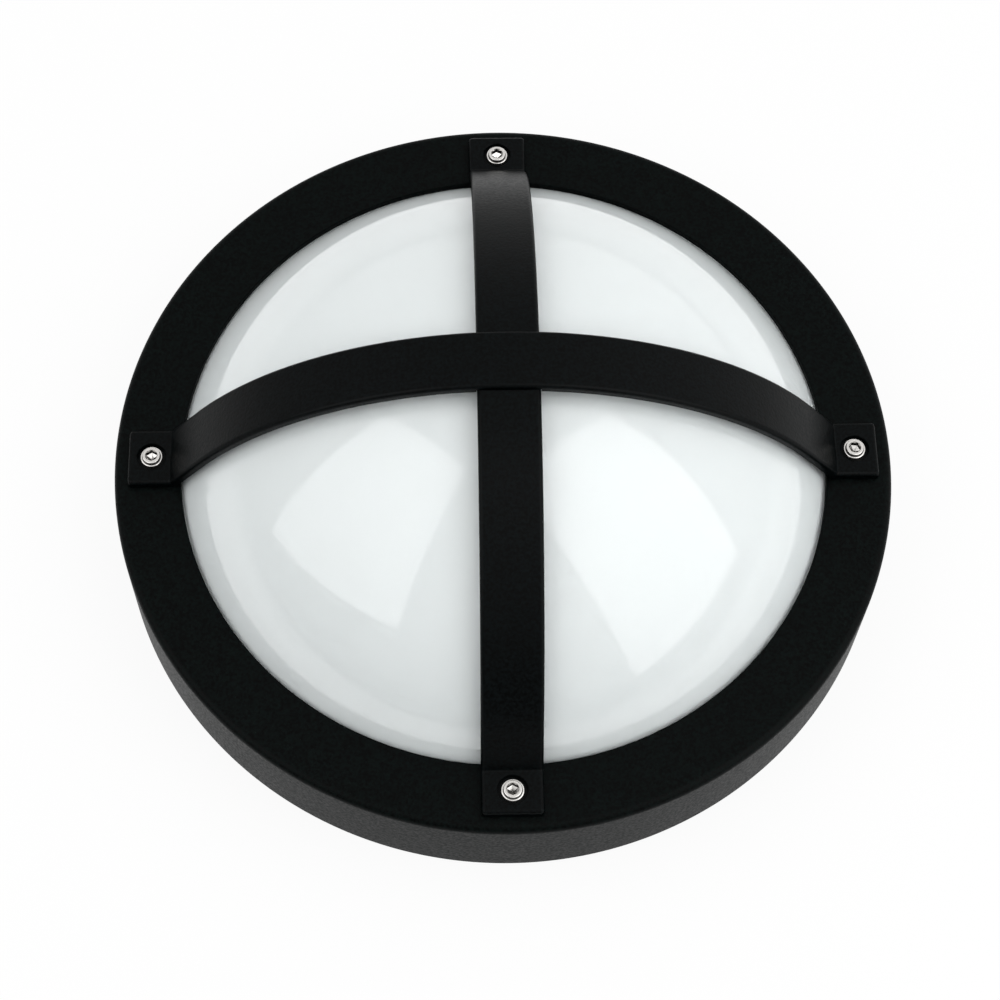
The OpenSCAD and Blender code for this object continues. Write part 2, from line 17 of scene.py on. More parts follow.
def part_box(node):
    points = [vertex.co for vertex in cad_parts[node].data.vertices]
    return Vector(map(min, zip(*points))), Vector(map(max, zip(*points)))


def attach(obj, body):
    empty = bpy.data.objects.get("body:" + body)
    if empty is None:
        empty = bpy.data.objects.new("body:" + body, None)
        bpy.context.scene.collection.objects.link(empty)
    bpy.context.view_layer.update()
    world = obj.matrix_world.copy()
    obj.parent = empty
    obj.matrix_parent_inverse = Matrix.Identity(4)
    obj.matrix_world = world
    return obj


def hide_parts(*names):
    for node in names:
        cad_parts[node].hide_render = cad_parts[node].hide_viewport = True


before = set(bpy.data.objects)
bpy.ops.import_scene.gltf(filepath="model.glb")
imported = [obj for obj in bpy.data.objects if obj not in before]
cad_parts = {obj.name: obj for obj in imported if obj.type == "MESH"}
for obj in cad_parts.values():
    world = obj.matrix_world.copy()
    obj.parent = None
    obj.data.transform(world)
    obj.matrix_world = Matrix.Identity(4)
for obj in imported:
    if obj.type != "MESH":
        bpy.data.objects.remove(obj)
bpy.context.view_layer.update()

# %% [markdown]
# ## The camera
# The lamp lies on its back and the camera looks down on it, from in front and a little to the left.
# A camera can be aimed with a constraint, but here its three axes are worked out and written as a matrix,
# because the picture also has a slight roll. A long lens keeps the far side of the ring nearly as wide as
# the near side. The small shift only slides the frame, so that the ring sits a little above its middle.

# %% Camera
aim_point = Vector((0.0, 0.0, 0.0392))


def aim_camera(target, elevation, azimuth, roll, distance):
    e, a, t = math.radians(elevation), math.radians(azimuth), math.radians(roll)
    back = Vector((math.sin(a) * math.cos(e), -math.cos(a) * math.cos(e), math.sin(e)))
    level = Vector((math.cos(a), math.sin(a), 0.0))
    rise = back.cross(level)
    across = math.cos(t) * level + math.sin(t) * rise
    upward = -math.sin(t) * level + math.cos(t) * rise
    turn = Matrix((across, upward, back)).transposed().to_4x4()
    return Matrix.Translation(target + distance * back) @ turn


camera = bpy.data.objects.new("camera", bpy.data.cameras.new("camera"))
bpy.context.scene.collection.objects.link(camera)
camera.matrix_world = aim_camera(aim_point, elevation=64.11, azimuth=-3.57, roll=2.54, distance=0.9416)
camera.data.sensor_width = 36.0
camera.data.lens = 87.81
camera.data.shift_x = -0.0042
camera.data.shift_y = -0.0435
bpy.context.scene.camera = camera
bpy.context.scene.view_settings.view_transform = "Standard"
print("camera at", [round(x, 3) for x in camera.matrix_world.translation])

# %% [markdown]
# ## Small helpers for shader nodes
# A finish is a little network of nodes. Made by hand in the editor it would be a few clicks and drags.
# In code the same clicks become one call: `fill` gives each input of a node either a number or a link from
# another node's output, and `place` adds a node, sets its options, and fills it.

# %% Node helpers


def fill(tree, node, values):
    for socket, value in values.items():
        if isinstance(value, bpy.types.NodeSocket):
            tree.links.new(value, node.inputs[socket])
        else:
            node.inputs[socket].default_value = value


def place(tree, kind, inputs=None, **options):
    made = tree.nodes.new(kind)
    for option, value in options.items():
        setattr(made, option, value)
    fill(tree, made, inputs or {})
    return made


def math_node(tree, operation, a, b=None, clamp=False):
    inputs = {0: a} if b is None else {0: a, 1: b}
    return place(tree, "ShaderNodeMath", inputs, operation=operation, use_clamp=clamp).outputs[0]


print("helpers ready: fill, place, math_node")

# %% [markdown]
# Three more helpers stretch or mix values. `spread` stretches a mask of 0 to 1 onto another range, and
# `smooth` does so with a soft start and end. A Mix node has sockets for each kind of data, and those for
# colours are numbers 6 and 7 going in and number 2 going out.

# %% Range and colour helpers
mix_first, mix_second, mix_result = 6, 7, 2


def spread(tree, value, low, high):
    inputs = {"Value": value, "To Min": low, "To Max": high}
    return place(tree, "ShaderNodeMapRange", inputs).outputs["Result"]


def smooth(tree, value, start, stop, low=0.0, high=1.0):
    inputs = {"Value": value, "From Min": start, "From Max": stop, "To Min": low, "To Max": high}
    return place(tree, "ShaderNodeMapRange", inputs, interpolation_type="SMOOTHSTEP").outputs["Result"]


def blend_colours(tree, share, first, second):
    ends = [c if isinstance(c, bpy.types.NodeSocket) else (*c, 1.0) for c in (first, second)]
    inputs = {"Factor": share, mix_first: ends[0], mix_second: ends[1]}
    return place(tree, "ShaderNodeMix", inputs, data_type="RGBA").outputs[mix_result]


print("helpers ready: spread, smooth, blend_colours")

# %% [markdown]
# ## The floor
# The lamp lies on plain white paper in a plain studio. The floor is one wide disc, a hair below the lamp's
# back. The paper's own light is mixed in for the rays that look at it, from the camera or off a shiny piece,
# so that it reads as clean white. It fades with distance, or else the dome would mirror a hard white edge all
# along its rim. The rest is a plain matt white that keeps the lamp's soft shadow.

# %% Floor
table_radius, table_drop = 14.0, 0.0003
paper_white, glow_white = (0.9, 0.9, 0.9, 1.0), (1.0, 1.0, 1.0, 1.0)
glow_share, glow_near, glow_far = 0.9, 0.3, 1.4


def white_table():
    mesh = bpy.data.meshes.new("white_table")
    disc = bmesh.new()
    bmesh.ops.create_circle(disc, cap_ends=True, segments=96, radius=table_radius)
    disc.to_mesh(mesh)
    disc.free()
    table = bpy.data.objects.new("white_table", mesh)
    table.location.z = -table_drop
    bpy.context.scene.collection.objects.link(table)
    return table


def white_paper():
    paper = bpy.data.materials.new("white_paper")
    paper.use_nodes = True
    tree = paper.node_tree
    tree.nodes.clear()
    ray = place(tree, "ShaderNodeLightPath")
    seen = math_node(tree, "ADD", ray.outputs["Is Camera Ray"], ray.outputs["Is Glossy Ray"], clamp=True)
    seen = math_node(tree, "ADD", seen, ray.outputs["Is Transmission Ray"], clamp=True)
    where = place(tree, "ShaderNodeTexCoord").outputs["Object"]
    out = place(tree, "ShaderNodeVectorMath", {0: where}, operation="LENGTH").outputs["Value"]
    share = math_node(tree, "MULTIPLY", seen, smooth(tree, out, glow_near, glow_far, glow_share, 0.0))
    matt = place(tree, "ShaderNodeBsdfDiffuse", {"Color": paper_white})
    glow = place(tree, "ShaderNodeEmission", {"Color": glow_white, "Strength": 1.0})
    both = place(tree, "ShaderNodeMixShader", {0: share, 1: matt.outputs[0], 2: glow.outputs[0]})
    place(tree, "ShaderNodeOutputMaterial", {"Surface": both.outputs[0]})
    return paper


white_table().data.materials.append(white_paper())
print("floor laid", table_drop, "m below the lamp")

# %% [markdown]
# ## The room
# The room is only a soft gradient. Overhead it is an even pale grey, a little lighter on the right. Along the
# horizon it is bright on the far side and dim behind the camera, as in a studio with one lit wall, so that
# the black straps run from light to dark. An image of a studio would do too, but this needs no file.

# %% Room
overhead_from = 0.85


def dim_studio():
    world = bpy.data.worlds.new("dim_studio")
    bpy.context.scene.world = world
    world.use_nodes = True
    tree = world.node_tree
    tree.nodes.clear()
    direction = place(tree, "ShaderNodeTexCoord").outputs["Generated"]

    def tilted(middle, slope):
        inputs = {0: direction, 1: slope}
        rise = place(tree, "ShaderNodeVectorMath", inputs, operation="DOT_PRODUCT").outputs["Value"]
        return math_node(tree, "ADD", rise, middle)

    height = place(tree, "ShaderNodeSeparateXYZ", {0: direction}).outputs["Z"]
    horizon = tilted(middle=0.56, slope=(0.18, 0.45, 0.0))
    overhead = tilted(middle=0.79, slope=(0.16, -0.046, 0.0))
    level = smooth(tree, height, 0.0, overhead_from, horizon, overhead)
    light = place(tree, "ShaderNodeBackground", {"Color": level, "Strength": 1.0})
    place(tree, "ShaderNodeOutputWorld", {"Surface": light.outputs[0]})
    return world


print("room:", dim_studio().name)

# %% [markdown]
# ## Two softboxes
# Two large softboxes stand to the left and the right of the camera. Their outlines show as pale panes on the
# dome, and the corners of those panes tell where they stood. Area lamps are the plain way to make them: their
# size gives the soft shadow edges and the shape of the pane. They are hidden from the camera itself.

# %% Softboxes


def softbox(name, centre, facing, width_along, width, height, radiance):
    lamp = bpy.data.lights.new(name, "AREA")
    lamp.shape = "RECTANGLE"
    lamp.size, lamp.size_y = width, height
    lamp.energy = radiance * math.pi * width * height
    box = bpy.data.objects.new(name, lamp)
    bpy.context.scene.collection.objects.link(box)
    out = Vector(facing).normalized()
    side = Vector(width_along)
    side = (side - side.dot(out) * out).normalized()
    turn = Matrix((side, (-out).cross(side), -out)).transposed().to_4x4()
    box.matrix_world = Matrix.Translation(Vector(centre)) @ turn
    box.visible_camera = False
    return box


left_box = softbox(
    "left_softbox", centre=(-0.663, -0.117, 0.82), facing=(0.662, 0.617, -0.426),
    width_along=(-0.734, 0.648, -0.203), width=0.81, height=1.14, radiance=1.12)
right_box = softbox(
    "right_softbox", centre=(0.713, -0.224, 0.745), facing=(-0.417, 0.667, -0.617),
    width_along=(0.815, 0.575, 0.072), width=0.98, height=1.402, radiance=1.16)
print("softboxes:", left_box.name, right_box.name)

# %% [markdown]
# ## Turned forms
# A round piece can be turned from half its outline with a Screw modifier. Here bmesh spins the outline, which
# comes to the same. Outlines are written in millimetres, as on a drawing, and each rounding is an arc.
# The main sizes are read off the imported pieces, so `top_corner` gives a piece's far corner in millimetres.

# %% Turning an outline
mm = 0.001
weld_distance = 0.001 * mm


def top_corner(node):
    return [round(x / mm, 2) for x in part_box(node)[1]]


def rounding(centre_r, centre_z, radius, start, stop, steps):
    turns = [math.radians(start + (stop - start) * i / steps) for i in range(steps + 1)]
    return [(centre_r + radius * math.cos(a), centre_z + radius * math.sin(a)) for a in turns]


def turned_form(outline, steps, closed=False):
    form = bmesh.new()
    points = [form.verts.new((mm * r, 0.0, mm * z)) for r, z in outline]
    after = points[1:] + points[:1] if closed else points[1:]
    lines = [form.edges.new(pair) for pair in zip(points, after)]
    bmesh.ops.spin(form, geom=points + lines, axis=(0, 0, 1), angle=math.tau, steps=steps, use_merge=True)
    bmesh.ops.remove_doubles(form, verts=form.verts, dist=weld_distance)
    bmesh.ops.recalc_face_normals(form, faces=form.faces)
    return form


def quarter_turn(corner):
    return Matrix.Rotation(corner * math.pi / 2, 4, "Z")


print("turning helpers ready: top_corner, rounding, turned_form, quarter_turn")

# %% [markdown]
# Holes are cut with a Boolean modifier, as one would in the editor, and the result is kept as the piece's own
# mesh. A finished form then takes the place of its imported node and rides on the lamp's one body.

# %% Cutting and putting in place
sharp_angle = math.radians(28)


def new_solid(name, form):
    mesh = bpy.data.meshes.new(name)
    form.to_mesh(mesh)
    form.free()
    solid = bpy.data.objects.new(name, mesh)
    bpy.context.scene.collection.objects.link(solid)
    return solid


def cut_away(solid, form):
    cutter = new_solid("cutter", form)
    cut = solid.modifiers.new("cut", "BOOLEAN")
    cut.object = cutter
    cut.solver = "EXACT"
    bpy.context.view_layer.update()
    seen = solid.evaluated_get(bpy.context.evaluated_depsgraph_get())
    mesh = bpy.data.meshes.new_from_object(seen)
    solid.modifiers.clear()
    solid.data = mesh
    bpy.data.objects.remove(cutter)


def put_in_place(solid, node):
    solid.data.shade_smooth()
    solid.data.set_sharp_from_angle(angle=sharp_angle)
    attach(solid, "root")
    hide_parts(node)
    print(solid.name, "stands for", node, "with", len(solid.data.polygons), "faces")


print("cutting helpers ready: new_solid, cut_away, put_in_place")

# %% [markdown]
# ## The trim ring
# The ring is one deep casting: a skirt, a rounded outer edge, a flat face, and a small lip around the dome.
# It is turned as one closed outline. Short extra steps beside each rounding keep the flat face flat in the
# light. Then the four screw holes are cut.

# %% Trim ring
ring_radius, _, ring_height = top_corner("trim_ring")
ring_wall, face_wall, ring_edge, lip_edge = 3.0, 3.2, 3.0, 0.8
ring_inside, dome_opening = ring_radius - ring_wall, 124.5
chamfer = flat_step = 0.3
screw_circle, hole_radius = 135.3, 2.75
hole_middle, hole_depth = 37.0, 8.0
ring_steps, ring_edge_steps, lip_steps = 384, 12, 6


def ring_outline():
    skirt = [(ring_inside, chamfer), (ring_inside + chamfer, 0.0), (ring_radius - chamfer, 0.0)]
    skirt += [(ring_radius, chamfer), (ring_radius, ring_height - ring_edge - flat_step)]
    outer_edge = (ring_radius - ring_edge, ring_height - ring_edge, ring_edge)
    outer_round = rounding(*outer_edge, 0, 90, ring_edge_steps)
    face_ends = (ring_radius - ring_edge - flat_step, dome_opening + lip_edge + flat_step)
    face = [(end, ring_height) for end in face_ends]
    lip_round = rounding(dome_opening + lip_edge, ring_height - lip_edge, lip_edge, 90, 180, lip_steps)
    back = [(end, ring_height - face_wall) for end in (dome_opening, ring_inside)]
    return skirt + outer_round + face + lip_round + back


def screw_holes():
    form = bmesh.new()
    radius = mm * hole_radius
    for corner in range(4):
        where = quarter_turn(corner) @ Matrix.Translation((mm * screw_circle, 0.0, mm * hole_middle))
        bmesh.ops.create_cone(
            form, cap_ends=True, segments=48, radius1=radius, radius2=radius, depth=mm * hole_depth,
            matrix=where)
    return form


ring_casting = new_solid("ring_casting", turned_form(ring_outline(), ring_steps, closed=True))
cut_away(ring_casting, screw_holes())
put_in_place(ring_casting, "trim_ring")

# %% [markdown]
# ## The guard straps
# A strap is a flat bar with rounded edges, bent once at each foot and rolled into a long arc between them.
# Such a bar could be a curve with a bevel object, but then its section would also tilt and thin at the feet.
# So the bar is lofted here: a list of stations along the outer face, and the same rounded section set up at
# each one. A station is its place out and up, its tilt, and the depth and half width of the section there.

# %% Stations along a strap
foot_end, half_width, _ = top_corner("upper_guard_strap")
thickness, edge, foot_corner = 3.8, 1.5, 1.2
foot_top = ring_height + thickness
leg_foot, lean, bend = 130.7, math.radians(55.0), 1.0
edge_steps, bend_steps, arc_steps = 8, 8, 110
leg_shares = (0.02, 0.2, 0.4, 0.6, 0.8)
upper_crown, lower_crown = 119.66, 117.9


def half_at(out):
    into_corner = max(0.0, out - foot_end + foot_corner)
    return half_width - foot_corner + math.sqrt(max(0.0, foot_corner ** 2 - into_corner ** 2))


def foot_stations():
    stations = []
    for i in range(edge_steps + 1):
        a = math.radians(90 - 90 * i / edge_steps)
        out, drop = foot_end - edge * (1 - math.sin(a)), edge * (1 - math.cos(a))
        stations.append((out, foot_top - drop, 0.0, thickness - drop, half_at(out)))
    corner = leg_foot - thickness / math.tan(lean) + bend * math.tan(lean / 2)
    for out in (foot_end - edge - flat_step, corner + flat_step):
        stations.append((out, foot_top, 0.0, thickness, half_width))
    for i in range(bend_steps + 1):
        a = lean * i / bend_steps
        out, up = corner - bend * math.sin(a), foot_top + bend * (1 - math.cos(a))
        stations.append((out, up, a, thickness, half_width))
    return stations


def strap_half(crown):
    run = leg_foot - (crown - ring_height) / math.tan(lean)
    arc = run / (math.sin(lean) - (1 - math.cos(lean)) / math.tan(lean))
    stations = foot_stations()
    low, high = stations[-1], (arc * math.sin(lean), crown - arc + arc * math.cos(lean))
    for share in leg_shares:
        out, up = (low[k] + share * (high[k] - low[k]) for k in (0, 1))
        stations.append((out, up, lean, thickness, half_width))
    for i in range(arc_steps + 1):
        a = lean * (1 - i / arc_steps)
        out, up = arc * math.sin(a), crown - arc + arc * math.cos(a)
        stations.append((out, up, a, thickness, half_width))
    return stations


def strap_stations(crown):
    half = strap_half(crown)
    return half + [(-out, up, -tilt, deep, wide) for out, up, tilt, deep, wide in reversed(half[:-1])]


print("stations along the upper strap:", len(strap_stations(upper_crown)))

# %% [markdown]
# The section is drawn for one side and mirrored. Its outer corners are round and its inner ones have a small
# chamfer. Each pair of neighbouring sections is joined by a band of faces, and the two ends are closed.

# %% Lofting a strap
side_step = 0.25


def strap_section(deep, half):
    side = [(half - chamfer, deep), (half, deep - chamfer), (half, edge + side_step)]
    for i in range(edge_steps + 1):
        a = math.radians(90 * i / edge_steps)
        side.append((half - edge + edge * math.cos(a), edge - edge * math.sin(a)))
    side += [(half - edge - flat_step, 0.0), (half / 2, 0.0), (0.0, 0.0)]
    return side + [(-across, depth) for across, depth in reversed(side[:-1])]


def strap_form(crown):
    form = bmesh.new()
    loops = []
    for out, up, tilt, deep, half in strap_stations(crown):
        section = strap_section(deep, half)
        spots = [(out - d * math.sin(tilt), w, up - d * math.cos(tilt)) for w, d in section]
        loops.append([form.verts.new([mm * c for c in spot]) for spot in spots])
    for here, there in zip(loops, loops[1:]):
        for i, vert in enumerate(here):
            j = (i + 1) % len(here)
            form.faces.new((vert, here[j], there[j], there[i]))
    form.faces.new(loops[0])
    form.faces.new(loops[-1])
    bmesh.ops.recalc_face_normals(form, faces=form.faces)
    return form


print("corners in a strap's section:", len(strap_section(thickness, half_width)))

# %% [markdown]
# Each foot has a pocket for its screw: a hole, a wider seat, and a mouth that opens a little. Where the
# straps cross, each has a notch for the other, so that they lap and stay nearly in one plane.

# %% Guard straps
seat_height, pocket_low, pocket_high, pocket_radius = 40.9, 38.0, 46.0, 5.5
mouth_height, mouth, pocket_steps = 42.5, 0.35, 64
lap_height, below_bars, above_bars, notch_play = 116.9, 108.3, 122.0, 0.5
notch_width, notch_length = 2 * half_width + notch_play, 4 * half_width


def screw_pocket():
    hole = [(0.0, pocket_low), (hole_radius, pocket_low), (hole_radius, seat_height)]
    seat = [(pocket_radius, seat_height), (pocket_radius, mouth_height)]
    mouth_radius = pocket_radius + mouth
    top = [(mouth_radius, mouth_height + mouth), (mouth_radius, pocket_high), (0.0, pocket_high)]
    return turned_form(hole + seat + top, pocket_steps)


def strap_cuts(notch_low, notch_high):
    cuts = bmesh.new()
    for side in (-1, 1):
        pocket = screw_pocket()
        bmesh.ops.translate(pocket, verts=pocket.verts, vec=(side * mm * screw_circle, 0.0, 0.0))
        copy = bpy.data.meshes.new("pocket")
        pocket.to_mesh(copy)
        pocket.free()
        cuts.from_mesh(copy)
        bpy.data.meshes.remove(copy)
    middle = Matrix.Translation((0.0, 0.0, mm * (notch_low + notch_high) / 2))
    size = Matrix.Diagonal((mm * notch_width, mm * notch_length, mm * (notch_high - notch_low), 1.0))
    bmesh.ops.create_cube(cuts, size=1.0, matrix=middle @ size)
    return cuts


def guard_bar(name, node, crown, notch_low, notch_high, corner):
    bar = new_solid(name, strap_form(crown))
    cut_away(bar, strap_cuts(notch_low, notch_high))
    bar.data.transform(quarter_turn(corner))
    put_in_place(bar, node)


guard_bar("upper_bar", "upper_guard_strap", upper_crown, below_bars, lap_height, corner=0)
guard_bar("lower_bar", "lower_guard_strap", lower_crown, lap_height, above_bars, corner=1)

# %% [markdown]
# ## The cover screws
# Four socket screws hold the straps and the ring. The head has a plain rim and a slightly raised middle, and
# the socket is a hexagon with a countersunk mouth and a drilled, pointed end. One screw is turned and cut.

# %% One cover screw
shank_radius, shank_length, shank_tip = 2.5, 16.0, 0.4
head_radius, head_height, head_chamfer = 4.25, 3.0, 0.15
rim_side, rim_height, rim_round, rim_flat = 1.3, 1.85, 0.4, 3.6
step_radius, step_slope, middle_round, middle_flat = 3.4, 0.05, 0.35, 2.9
sink_low, sink_high, sink_end = (2.1, 2.6), (2.4, 3.05), 4.0
socket_corner, socket_top, socket_floor, socket_point = 2.31, 4.6, 0.4, -0.8
hexagon, screw_steps, head_edge_steps = 6, 72, 6


def screw_outline():
    shank = [(0.0, -shank_length), (shank_radius - shank_tip, -shank_length)]
    shank += [(shank_radius, shank_tip - shank_length), (shank_radius, 0.0)]
    side = [(head_radius - head_chamfer, 0.0), (head_radius, head_chamfer), (head_radius, rim_side)]
    rim = rounding(head_radius - rim_round, rim_height - rim_round, rim_round, 0, 90, head_edge_steps)
    rim += [(rim_flat, rim_height), (step_radius + step_slope, rim_height - step_slope)]
    step = [(step_radius, head_height - middle_round - step_slope)]
    middle_edge = (step_radius - middle_round, head_height - middle_round, middle_round)
    middle = rounding(*middle_edge, 0, 90, head_edge_steps)
    return shank + side + rim + step + middle + [(middle_flat, head_height), (0.0, head_height)]


def socket_punch():
    form = bmesh.new()
    around = [math.radians(360 / hexagon * i) for i in range(hexagon)]
    corners = [(mm * socket_corner * math.cos(a), mm * socket_corner * math.sin(a)) for a in around]
    rims = [[form.verts.new((x, y, mm * up)) for x, y in corners] for up in (socket_top, socket_floor)]
    point = form.verts.new((0.0, 0.0, mm * socket_point))
    form.faces.new(rims[0])
    for i in range(hexagon):
        j = (i + 1) % hexagon
        form.faces.new((rims[0][i], rims[0][j], rims[1][j], rims[1][i]))
        form.faces.new((rims[1][i], rims[1][j], point))
    bmesh.ops.recalc_face_normals(form, faces=form.faces)
    return form


def one_screw():
    screw = new_solid("screw", turned_form(screw_outline(), screw_steps))
    countersink = [(0.0, sink_low[1]), sink_low, sink_high, (sink_high[0], sink_end), (0.0, sink_end)]
    cut_away(screw, turned_form(countersink, screw_steps))
    cut_away(screw, socket_punch())
    return screw


print("corners in a screw's outline:", len(screw_outline()))

# %% [markdown]
# The socket's walls and the step of the rim get a second, near-black and rough finish. This is painted shade
# for these hollows, which stay dark under the studio light. The faces are found by their place and by how
# steep they are. Then the screw is copied to the four feet, each at its own turn.

# %% Cover screws
screw_turns = (55, 5, 30, 3)
socket_reach, socket_low, socket_steep = 2.4, 0.2, 0.2
step_band, step_low, step_steep = (3.3, 3.5), 1.7, 0.5


def mark_painted_shade_faces(mesh):
    for face in mesh.polygons:
        out, up = face.center.xy.length / mm, face.center.z / mm
        flatness = abs(face.normal.z)
        socket = out < socket_reach and up > socket_low and flatness < socket_steep
        step = step_band[0] < out < step_band[1] and up > step_low and flatness < step_steep
        # painted shade: faces in the socket and on the rim step take the near-black second finish
        face.material_index = 1 if socket or step else 0


def screw_set(turns):
    screw = one_screw()
    mark_painted_shade_faces(screw.data)
    seat = Matrix.Translation((mm * screw_circle, 0.0, mm * seat_height))
    form = bmesh.new()
    for corner, turn in enumerate(turns):
        copy = screw.data.copy()
        copy.transform(seat @ Matrix.Rotation(math.radians(turn), 4, "Z"))
        copy.transform(quarter_turn(corner))
        form.from_mesh(copy)
        bpy.data.meshes.remove(copy)
    bpy.data.objects.remove(screw)
    return new_solid("cover_screw_set", form)


put_in_place(screw_set(screw_turns), "cover_screws")

# %% [markdown]
# ## A shared effect: the skin of a sprayed coat
# Powder paint is sprayed on dry and melts into a skin that is never quite flat. It has a fine grain, and
# under it a slow swell. Five of the finishes on this lamp are such coats, so the effect is made once as a
# node group, with its own grain size in each finish. It puts out a height for the bump, a tone for the
# colour, and a gloss for the roughness.

# %% Coat skin group
mm_in_a_metre = 1000.0


def open_group(name, inputs, outputs):
    group = bpy.data.node_groups.new(name, "ShaderNodeTree")
    for label, value in inputs.items():
        socket = group.interface.new_socket(label, in_out="INPUT", socket_type="NodeSocketFloat")
        socket.default_value = value
    for label in outputs:
        group.interface.new_socket(label, in_out="OUTPUT", socket_type="NodeSocketFloat")
    return group, place(group, "NodeGroupInput"), place(group, "NodeGroupOutput")


def noise(tree, where, size, detail):
    scale = math_node(tree, "DIVIDE", mm_in_a_metre, size)
    inputs = {"Vector": where, "Scale": scale, "Detail": detail}
    return place(tree, "ShaderNodeTexNoise", inputs).outputs["Fac"]


def coat_skin():
    sizes = {"Grain mm": 0.8, "Swell mm": 9.0}
    group, given, result = open_group("coat_skin", sizes, ["Height", "Tone", "Gloss"])
    where = place(group, "ShaderNodeTexCoord").outputs["Object"]
    fine = noise(group, where, given.outputs["Grain mm"], detail=2.0)
    slow = noise(group, where, given.outputs["Swell mm"], detail=3.0)
    speck = smooth(group, fine, start=0.3, stop=0.7)
    tone = math_node(group, "MULTIPLY", speck, spread(group, slow, low=0.4, high=1.0))
    fill(group, result, {"Height": math_node(group, "ADD", fine, slow), "Tone": tone, "Gloss": speck})
    return group


coat_skin_group = coat_skin()
print("group:", coat_skin_group.name)

# %% [markdown]
# ## Finishes from a shared effect
# Every finish of the lamp is built in the same way. One mask of the group blends a darker and a lighter
# colour, one spreads the roughness, and the height feeds a bump. What is the same all over a piece is set on
# the shader itself with `tune`. `dress` then puts the finish on its pieces.

# %% Finish helpers


def principled(finish):
    return finish.node_tree.nodes["Principled BSDF"]


def tune(finish, values):
    fill(finish.node_tree, principled(finish), values)


def lift(finish, height, depth):
    inputs = {"Strength": 1.0, "Distance": depth, "Height": height}
    tune(finish, {"Normal": place(finish.node_tree, "ShaderNodeBump", inputs).outputs["Normal"]})


def textured(name, group, sizes, masks, dark, light, rough, depth):
    finish = bpy.data.materials.new(name)
    finish.use_nodes = True
    tree = finish.node_tree
    skin = place(tree, "ShaderNodeGroup", sizes, node_tree=group)
    tone, gloss = (skin.outputs[label] for label in masks)
    tune(finish, {"Base Color": blend_colours(tree, tone, dark, light)})
    tune(finish, {"Roughness": spread(tree, gloss, *rough)})
    if depth:
        lift(finish, skin.outputs["Height"], depth)
    return finish


def dress(finish, *names):
    for name in names:
        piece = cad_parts.get(name) or bpy.data.objects[name]
        if not piece.material_slots:
            piece.data.materials.append(finish)
        for slot in piece.material_slots:
            slot.material = finish
    print(finish.name, "on", ", ".join(names))


print("finish helpers ready: principled, tune, lift, textured, dress")

# %% [markdown]
# ## The black coat
# Ring and straps are metal under a black powder coat with a fine texture. Black is never zero: the colour
# wanders between almost nothing and a very dark, slightly green grey. The grain lifts the surface by a few
# hundredths of a millimetre, enough to break up reflections. A matt black mirrors little when seen from
# straight on, so its specular level is low. The rolled straps come out a bit smoother than the cast ring.

# %% Black coat
deep_black = (0.0001, 0.0003, 0.0003)
black_skin = {"grain": 1.1, "swell": 9.0, "depth": 0.08 * mm}


def coated(name, dark, light, rough, grain, swell, depth):
    sizes = {"Grain mm": grain, "Swell mm": swell}
    return textured(name, coat_skin_group, sizes, ("Tone", "Gloss"), dark, light, rough, depth)


ring_coat = coated("ring_coat", deep_black, (0.0016, 0.0042, 0.0038), (0.38, 0.52), **black_skin)
tune(ring_coat, {"Specular IOR Level": 0.06})
dress(ring_coat, "ring_casting")
strap_coat = coated("strap_coat", deep_black, (0.0014, 0.0031, 0.0035), (0.28, 0.4), **black_skin)
tune(strap_coat, {"Specular IOR Level": 0.08})
dress(strap_coat, "upper_bar", "lower_bar")

# %% [markdown]
# ## The other coats
# The base casting behind the ring has the same paint with a coarser grain, because nobody sees it once the
# lamp is up. The gear tray is white, to send the light forward, and the driver's case is a duller eggshell
# white.

# %% Base, tray and driver coats
base_coat = coated(
    "base_coat", dark=(0.003, 0.004, 0.004), light=(0.009, 0.012, 0.012), rough=(0.45, 0.62),
    grain=1.6, swell=14.0, depth=0.08 * mm)
dress(base_coat, "base_housing")
white_coat = coated(
    "white_coat", dark=(0.78, 0.78, 0.77), light=(0.84, 0.84, 0.83), rough=(0.30, 0.42),
    grain=0.7, swell=12.0, depth=0.02 * mm)
dress(white_coat, "gear_tray")
driver_case = coated(
    "driver_case", dark=(0.70, 0.70, 0.67), light=(0.77, 0.77, 0.74), rough=(0.42, 0.55),
    grain=0.5, swell=10.0, depth=0.02 * mm)
dress(driver_case, "led_driver")

# %% [markdown]
# ## A shared effect: moulded plastic and rubber
# A moulded piece takes the texture of its mould, a very fine even grain, and it carries faint flow clouds
# from the moment the melt filled the mould. The opal dome, the seals, the terminal block, the wires and the
# light board all have it in different strengths.

# %% Moulded skin group


def moulded_skin():
    sizes = {"Grain mm": 0.4, "Cloud mm": 30.0}
    group, given, result = open_group("moulded_skin", sizes, ["Height", "Cloud", "Gloss"])
    where = place(group, "ShaderNodeTexCoord").outputs["Object"]
    grain = noise(group, where, given.outputs["Grain mm"], detail=1.0)
    cloud = noise(group, where, given.outputs["Cloud mm"], detail=2.0)
    fill(group, result, {"Height": grain, "Cloud": cloud, "Gloss": grain})
    return group


moulded_skin_group = moulded_skin()


def moulded(name, dark, light, rough, grain, cloud, depth=0.0):
    sizes = {"Grain mm": grain, "Cloud mm": cloud}
    return textured(name, moulded_skin_group, sizes, ("Cloud", "Gloss"), dark, light, rough, depth)


print("group:", moulded_skin_group.name)

# %% [markdown]
# ## The opal dome
# The dome is opal polycarbonate: milky all through and polished outside, so it shows the studio as pale panes
# and darkens only where it turns away. A full glass material with light scattered inside it would be slow and
# noisy. Here the Subsurface setting lets light creep a few millimetres under a clear skin, which softens the
# shadows of the straps and keeps the white bright.

